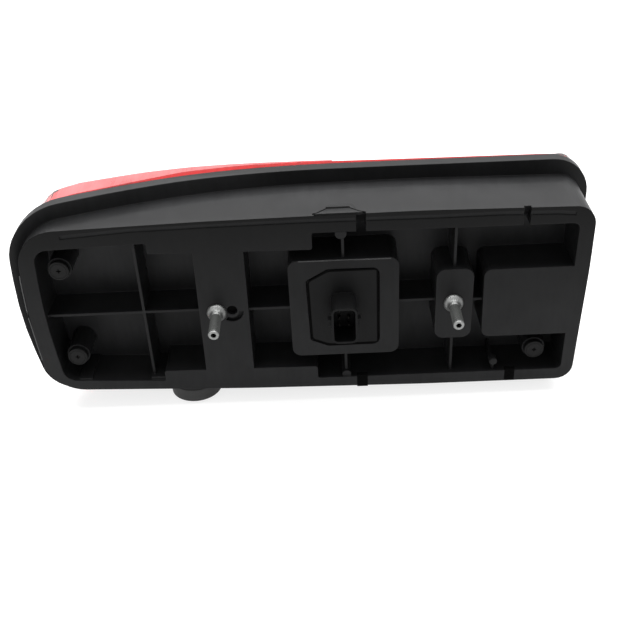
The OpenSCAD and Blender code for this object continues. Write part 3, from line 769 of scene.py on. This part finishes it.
class TAILLIGHT_OT_fixings(bpy.types.Operator):
    """Studs, contacts and screw heads"""

    bl_idname = "taillight.fixings"
    bl_label = "Studs, contacts and screws"

    def execute(self, context):
        steel = metal("zinc plated steel", (0.28, 0.285, 0.28), 0.45, 0.0002,
                      (900.0, 260.0, 900.0))
        dark = metal("socket shadow steel", (0.03, 0.03, 0.03), 0.6, 0.0)
        # darker steel on the thread, painted shade on the stud's shaft
        thread_shade_steel = metal("thread steel", (0.08, 0.083, 0.08), 0.5, 0.0, (900.0, 260.0, 900.0))
        for node, across in STUD_AXES.items():
            self.stud(node, (across * MM, 0.0, 0.0), steel, thread_shade_steel, dark)
        blades = bmesh.new()
        for across in BLADE_COLUMNS:
            for row in range(BLADE_ROWS):
                made = bmesh.ops.create_cube(blades, size=1.0)["verts"]
                bmesh.ops.scale(blades, vec=Vector(BLADE_SIZE) * MM, verts=made)
                place = Vector((across, BLADE_DEPTH, BLADE_SPACING * row + BLADE_LOWEST)) * MM
                bmesh.ops.translate(blades, vec=place, verts=made)
        soften(blades, 0.25 * MM)
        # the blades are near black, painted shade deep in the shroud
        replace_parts(piece("contact_blades", blades,
                          metal("contact bronze in painted shade", (0.008, 0.006, 0.004), 0.8, 0.0, metallic=0.2)),
                    "contact_pins")
        dress("contact_strip", metal("strip brass", (0.80, 0.62, 0.32), 0.28, 0.0001))
        head = plastic("screw plastic", grey(0.0045), 0.45, 0.0004, specular=0.12, marks=0.4,
                       grain_size=900.0)
        heads = []
        for index, (across, up) in enumerate(SCREW_AXES):
            centre = (across * MM, 0.0, up * MM)
            shape = turned(SCREW_PROFILE, centre)
            lobes(shape, centre, reach=0.0013, count=4, depth=0.5)
            heads.append(piece("screw_%d" % (index + 1), shape, head))
        for made in heads:
            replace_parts(made, "lens_screws")
        return {"FINISHED"}

    def stud(self, node, centre, steel, thread_shade_steel, dark):
        """Collar stud with a rolled thread, a plain tip and a hexagon socket"""
        shape = turned(STUD_PROFILE, centre)
        for vert in shape.verts:
            out = Vector((vert.co.x - centre[0], vert.co.z - centre[2]))
            if vert.co.y < SOCKET_START and 0.0001 < out.length < SOCKET_REACH:
                turn = math.atan2(out.y, out.x) % (math.pi / 3) - math.pi / 6
                grow = HEXAGON_FLAT / math.cos(turn)
                vert.co.x = centre[0] + out.x * grow
                vert.co.z = centre[2] + out.y * grow
        # faces on the socket's floor get the near-black steel as painted shadow
        for face in shape.faces:
            middle = face.calc_center_median()
            away = math.hypot(middle.x - centre[0], middle.z)
            if middle.y < SOCKET_START and away < SOCKET_SHADOW:
                face.material_index = 1
        body = piece(node + "_bolt", shape, (steel, dark), 25.0)
        section = [(centre[0] + radius * MM, (THREAD_START - fall) * MM, centre[2])
                   for radius, fall in ((THREAD_ROOT, 0.0), (THREAD_CREST, 0.45),
                                        (THREAD_CREST, 0.6), (THREAD_ROOT, 1.05))]
        thread = helix(section, centre, (0.0, 1.0, 0.0), THREAD_TURNS, 24, -THREAD_PITCH * MM)
        ridge = piece(node + "_thread", thread, thread_shade_steel, 25.0)
        for made in (body, ridge):
            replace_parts(made, node)


class TAILLIGHT_OT_lens(bpy.types.Operator):
    """Lens, its windows and the two strips along its top"""

    bl_idname = "taillight.lens"
    bl_label = "Lens"

    def execute(self, context):
        values = context.scene.taillight_lens
        dress("lens", red_lens(tuple(values.red), tuple(values.foot)))
        crown, lip = [], []
        for across in LENS_SECTIONS:
            front = flange_front(across)
            top = along(FLANGE_TOP, across)
            deep = along(LIP_DEPTH, across)
            reach = along(CROWN_REACH, across)
            lip.append([(across, front + out, top + up) for out, up in
                        ((0.05, -3.5), (0.05, -0.3), (0.3, 0.0), (deep * 0.8, 0.02),
                         (deep * 0.95, -0.15), (deep, -0.8), (deep, -3.5))])
            crown.append([(across, front + out, top + up) for out, up in
                          ((0.6, -4.0), (0.6, -0.9), (deep - 0.2, -0.8), (deep + 0.4, 0.0),
                           (reach * 0.85, 0.1), (reach, -0.3), (reach + 0.8, -1.6),
                           (reach + 1.0, -4.0))])
        piece("lens_lip", lofted(lip),
              plastic("lens lip plastic", (0.21, 0.008, 0.008, 1.0), 0.4, 0.0, specular=0.05,
                      marks=0.3), 50.0)
        # the crown is opaque, and its pale red is painted light shining through the lens
        piece("lens_crown", lofted(crown[:CROWN_SECTIONS]),
              plastic("lens crown painted light", (0.36, 0.088, 0.090, 1.0), 0.3, 0.0, specular=0.1,
                      marks=0.3), 50.0)
        dress("indicator_window", clear_plastic("amber lens plastic", tuple(values.amber),
                                                flutes=0.0008))
        dress("reverse_window", clear_plastic("clear lens plastic", tuple(values.clear),
                                              flutes=0.0008))
        dress("reflex_reflector", clear_plastic("reflex plastic", (0.8, 0.03, 0.04, 1.0),
                                                flutes=0.0008, pitch=2000.0))
        return {"FINISHED"}


class TAILLIGHT_OT_lamps(bpy.types.Operator):
    """Bulbs, sockets and the plated panel behind the lens"""

    bl_idname = "taillight.lamps"
    bl_label = "Lamps"

    def execute(self, context):
        dress("reflector_panel", metal("bright plating", (0.9, 0.9, 0.91), 0.12, 0.0002))
        clear = clear_plastic("bulb glass", (0.97, 0.97, 0.97, 1.0), 0.02)
        amber = clear_plastic("amber bulb glass", (1.0, 0.5, 0.1, 1.0), 0.02)
        cap = metal("bulb cap brass", (0.75, 0.68, 0.50), 0.3, 0.0001)
        wire = metal("filament wire", (0.35, 0.35, 0.36), 0.35, 0.0)
        for name in ("indicator", "stop", "tail", "reverse"):
            low, high = (Vector(corner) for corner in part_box(name + "_bulb"))
            self.bulb(name + "_bulb", (low.x + high.x) / 2, (low.z + high.z) / 2, low.y / MM,
                      amber if name == "indicator" else clear, cap, wire)
        socket = plastic("socket plastic", grey(0.05), 0.5, 0.0003)
        for node in ("indicator_socket", "stop_socket", "tail_socket", "reverse_socket"):
            dress(node, socket)
        return {"FINISHED"}

    def bulb(self, node, across, up, base, glass, cap, wire):
        """Hollow glass envelope on a metal cap, with two posts and a coiled filament"""
        centre = (across, 0.0, up)
        shell = turned([(radius, base + rise) for radius, rise in BULB_GLASS], centre, 32)
        made = [piece(node + "_glass", shell,
                      glass)]
        foot = turned([(radius, base + rise) for radius, rise in BULB_CAP], centre, 32)
        made.append(piece(node + "_cap", foot, cap))
        for side, offset in (("left", -BULB_POST_SIDE), ("right", BULB_POST_SIDE)):
            place = (across / MM + offset, base + 1.0, up / MM)
            made.append(piece(node + "_post_" + side,
                              rod([place, (place[0], base + BULB_POST_RISE, place[2])], 0.16, 6),
                              wire))
        middle = Vector((across - BULB_POST_SIDE * MM, (base + BULB_POST_RISE) * MM, up))
        section = [middle + Vector(corner) * MM for corner in FILAMENT_SECTION]
        made.append(piece(node + "_filament",
                          helix(section, middle, (1.0, 0.0, 0.0), 8, 10, 0.43 * MM),
                          wire))
        for item in made:
            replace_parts(item, node)


class TAILLIGHT_OT_buzzer(bpy.types.Operator):
    """Finish of the reversing buzzer"""

    bl_idname = "taillight.buzzer"
    bl_label = "Buzzer"

    def execute(self, context):
        skin = plastic("buzzer plastic", grey(0.020), 0.55, 0.0004, specular=0.3)
        dress("buzzer_body", skin)
        dress("buzzer_grille", skin)
        return {"FINISHED"}


STEPS = ("stage", "housing", "fixings", "lens", "lamps", "buzzer")


class TAILLIGHT_PT_panel(bpy.types.Panel):
    """Steps that build the lamp"""

    bl_idname = "TAILLIGHT_PT_panel"
    bl_label = "Tail Light Cluster"
    bl_space_type = "VIEW_3D"
    bl_region_type = "UI"
    bl_category = "Tail Light"

    def draw(self, context):
        for step in STEPS:
            self.layout.operator("taillight." + step)
        for name in ("stage", "housing", "lens"):
            group = getattr(context.scene, "taillight_" + name)
            box = self.layout.box()
            for key in group.__annotations__:
                box.prop(group, key)


CLASSES = (
    TailLightStage, TailLightHousing, TailLightLens,
    TAILLIGHT_OT_stage, TAILLIGHT_OT_housing, TAILLIGHT_OT_fixings, TAILLIGHT_OT_lens,
    TAILLIGHT_OT_lamps, TAILLIGHT_OT_buzzer, TAILLIGHT_PT_panel,
)


def register():
    for item in CLASSES:
        bpy.utils.register_class(item)
    bpy.types.Scene.taillight_stage = PointerProperty(type=TailLightStage)
    bpy.types.Scene.taillight_housing = PointerProperty(type=TailLightHousing)
    bpy.types.Scene.taillight_lens = PointerProperty(type=TailLightLens)


def unregister():
    del bpy.types.Scene.taillight_lens
    del bpy.types.Scene.taillight_housing
    del bpy.types.Scene.taillight_stage
    for item in reversed(CLASSES):
        bpy.utils.unregister_class(item)


def main():
    register()
    for step in STEPS:
        getattr(bpy.ops.taillight, step)()


if __name__ == "__main__":
    main()
